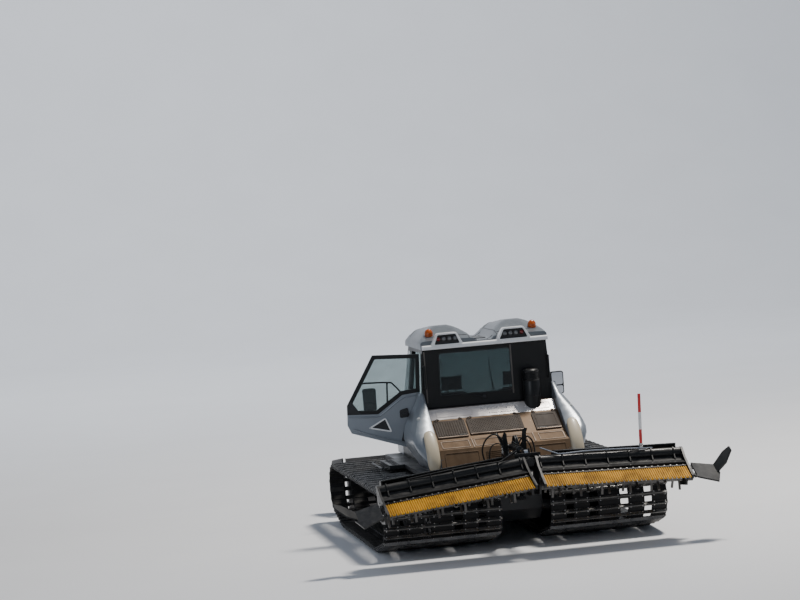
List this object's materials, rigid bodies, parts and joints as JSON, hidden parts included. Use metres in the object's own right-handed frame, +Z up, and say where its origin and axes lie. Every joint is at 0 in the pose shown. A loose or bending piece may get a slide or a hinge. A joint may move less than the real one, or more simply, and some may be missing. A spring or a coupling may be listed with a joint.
{
  "type": "snow groomer",
  "caption": "Tracked snow groomer with a hollow cab, an open left door, a front blade with folding wings and a raised rear tiller with a slatted finishing comb.",
  "frame": {"origin": "middle of the machine's bounding box, on the ground under the tracks", "axes": "+X forward to the blade, +Y to the machine's left, +Z up"},
  "size_m": [7.6717, 5.7741, 3.16],
  "materials": {
    "dark_frame": "satin",
    "track_rubber": "matte",
    "black_body": "satin",
    "silver_body": "metallic gloss",
    "bright_trim": "bright gloss",
    "lamp_lens": "clear",
    "amber_lens": "clear amber",
    "clear_glass": "clear, lightly tinted",
    "dark_fabric": "woven",
    "dark_plastic": "grained",
    "bronze_deck": "metallic, weathered",
    "yellow_comb": "worn",
    "worn_steel": "worn",
    "pole_red": "gloss with white bands",
    "hose_rubber": "matte",
    "chrome_rod": "polished",
    "blade_paint": "satin, worn"
  },
  "bodies": {
    "chassis": {"hull": "dark_frame", "wheels_left": "dark_frame", "wheels_right": "dark_frame", "track_left": "track_rubber", "track_right": "track_rubber", "cab_shell": "black_body", "roof": "silver_body", "spoiler": "bright_trim", "work_lamps": "lamp_lens", "beacon_bases": "black_body", "beacons": "amber_lens", "windscreen": "clear_glass", "rear_glass": "clear_glass", "side_glass": "clear_glass", "seats": "dark_fabric", "console": "dark_plastic", "engine_block": "dark_frame", "deck": "bronze_deck", "pod_left": "silver_body", "pod_right": "silver_body", "nose": "silver_body", "head_lamps": "lamp_lens", "mirrors": "black_body", "steps": "dark_frame", "stack": "black_body", "grab_rails": "black_body", "carrier": "dark_frame", "hoses": "hose_rubber"},
    "lid_left": {"lid_left": "bronze_deck"},
    "lid_middle": {"lid_middle": "bronze_deck"},
    "lid_right": {"lid_right": "bronze_deck"},
    "door_left": {"door_left": "silver_body", "door_left_frame": "black_body", "door_left_glass": "clear_glass"},
    "door_right": {"door_right": "silver_body", "door_right_frame": "black_body", "door_right_glass": "clear_glass"},
    "tiller_arm": {"lift_arm": "black_body"},
    "tiller_left": {"housing_left": "black_body", "comb_left": "yellow_comb"},
    "tiller_right": {"housing_right": "black_body", "comb_right": "yellow_comb", "marker_pole": "pole_red"},
    "cutter_left": {"rotor_left": "worn_steel"},
    "cutter_right": {"rotor_right": "worn_steel"},
    "wing_left": {"wing_left": "black_body"},
    "wing_right": {"wing_right": "black_body"},
    "lift_barrel": {"lift_barrel": "black_body"},
    "lift_rod": {"lift_rod": "chrome_rod"},
    "blade_arm": {"push_frame": "dark_frame"},
    "blade": {"blade": "blade_paint"},
    "ear_left": {"ear_left": "blade_paint"},
    "ear_right": {"ear_right": "blade_paint"},
    "blade_barrel": {"blade_barrel": "black_body"},
    "blade_rod": {"blade_rod": "chrome_rod"}
  },
  "joints": [
    {"name": "lid_left_hinge", "type": "hinge", "parent": "chassis", "child": "lid_left", "pos_m": [-0.76038, 0.705, 1.7771], "axis": [0, 1, 0], "range_deg": [0, 75]},
    {"name": "lid_middle_hinge", "type": "hinge", "parent": "chassis", "child": "lid_middle", "pos_m": [-0.76038, 0.025, 1.7771], "axis": [0, 1, 0], "range_deg": [0, 75]},
    {"name": "lid_right_hinge", "type": "hinge", "parent": "chassis", "child": "lid_right", "pos_m": [-0.76038, -0.755, 1.7771], "axis": [0, 1, 0], "range_deg": [0, 75]},
    {"name": "door_left_hinge", "type": "hinge", "parent": "chassis", "child": "door_left", "pos_m": [-0.25, 1.06298, 1.12094], "axis": [0, -0.0523, 0.9986], "range_deg": [-84, 4]},
    {"name": "door_right_hinge", "type": "hinge", "parent": "chassis", "child": "door_right", "pos_m": [-0.25, -1.06298, 1.12094], "axis": [0, -0.0523, -0.9986], "range_deg": [0, 84]},
    {"name": "tiller_lift", "type": "hinge", "parent": "chassis", "child": "tiller_arm", "pos_m": [-2.01, 0, 1.18], "axis": [0, 1, 0], "range_deg": [-20, 12]},
    {"name": "flex_left", "type": "hinge", "parent": "tiller_arm", "child": "tiller_left", "pos_m": [-3.12, 0, 1.29], "axis": [1, 0, 0], "range_deg": [-2, 11.5]},
    {"name": "flex_right", "type": "hinge", "parent": "tiller_arm", "child": "tiller_right", "pos_m": [-3.12, 0, 1.29], "axis": [-1, 0, 0], "range_deg": [-5.5, 8]},
    {"name": "cutter_left_spin", "type": "hinge", "parent": "tiller_left", "child": "cutter_left", "pos_m": [-3.18, -0.03163, 0.96152], "axis": [0, 0.9954, -0.0958], "continuous": true},
    {"name": "cutter_right_spin", "type": "hinge", "parent": "tiller_right", "child": "cutter_right", "pos_m": [-3.18, 0.01152, 0.9602], "axis": [0, -0.9994, -0.0349], "continuous": true},
    {"name": "wing_left_fold", "type": "hinge", "parent": "tiller_left", "child": "wing_left", "pos_m": [-3.5598, 2.23269, 0.85603], "axis": [0.9135, 0.039, 0.4049], "range_deg": [-10, 70]},
    {"name": "wing_right_fold", "type": "hinge", "parent": "tiller_right", "child": "wing_right", "pos_m": [-3.5598, -2.25501, 0.99314], "axis": [-0.9135, 0.0142, -0.4065], "range_deg": [-10, 70]},
    {"name": "lift_barrel_swing", "type": "hinge", "parent": "chassis", "child": "lift_barrel", "pos_m": [-1.86, 0, 1.4], "axis": [0, -1, 0], "range_deg": [-10.27, 17.01]},
    {"name": "lift_rod_slide", "type": "slide", "parent": "lift_barrel", "child": "lift_rod", "axis": [-1, 0, 0], "range_m": [-0.0443, 0.0731]},
    {"name": "blade_lift", "type": "hinge", "parent": "chassis", "child": "blade_arm", "pos_m": [2.36, 0, 0.5], "axis": [0, -1, 0], "range_deg": [0, 22]},
    {"name": "blade_angle", "type": "hinge", "parent": "blade_arm", "child": "blade", "pos_m": [3.02, 0, 0.5], "axis": [0, 0, 1], "range_deg": [-10, 10]},
    {"name": "ear_left_fold", "type": "hinge", "parent": "blade", "child": "ear_left", "pos_m": [3.34, 1.746, 0.48], "axis": [0, 0, 1], "range_deg": [0, 75]},
    {"name": "ear_right_fold", "type": "hinge", "parent": "blade", "child": "ear_right", "pos_m": [3.34, -1.746, 0.48], "axis": [0, 0, -1], "range_deg": [0, 75]},
    {"name": "blade_barrel_swing", "type": "hinge", "parent": "chassis", "child": "blade_barrel", "pos_m": [2.37, 0, 0.93], "axis": [0, -1, 0], "range_deg": [-0.16, 16.57]},
    {"name": "blade_rod_slide", "type": "slide", "parent": "blade_barrel", "child": "blade_rod", "axis": [0.888, 0, -0.4599], "range_m": [-0.1558, 0.001]}
  ],
  "couplings": [
    {"joint": "lift_barrel_swing", "follows": "tiller_lift", "ratio": -0.84282},
    {"joint": "lift_rod_slide", "follows": "tiller_lift", "m_per_rad": -0.20657},
    {"joint": "blade_barrel_swing", "follows": "blade_lift", "ratio": 0.74621},
    {"joint": "blade_rod_slide", "follows": "blade_lift", "m_per_rad": -0.40317}
  ]
}
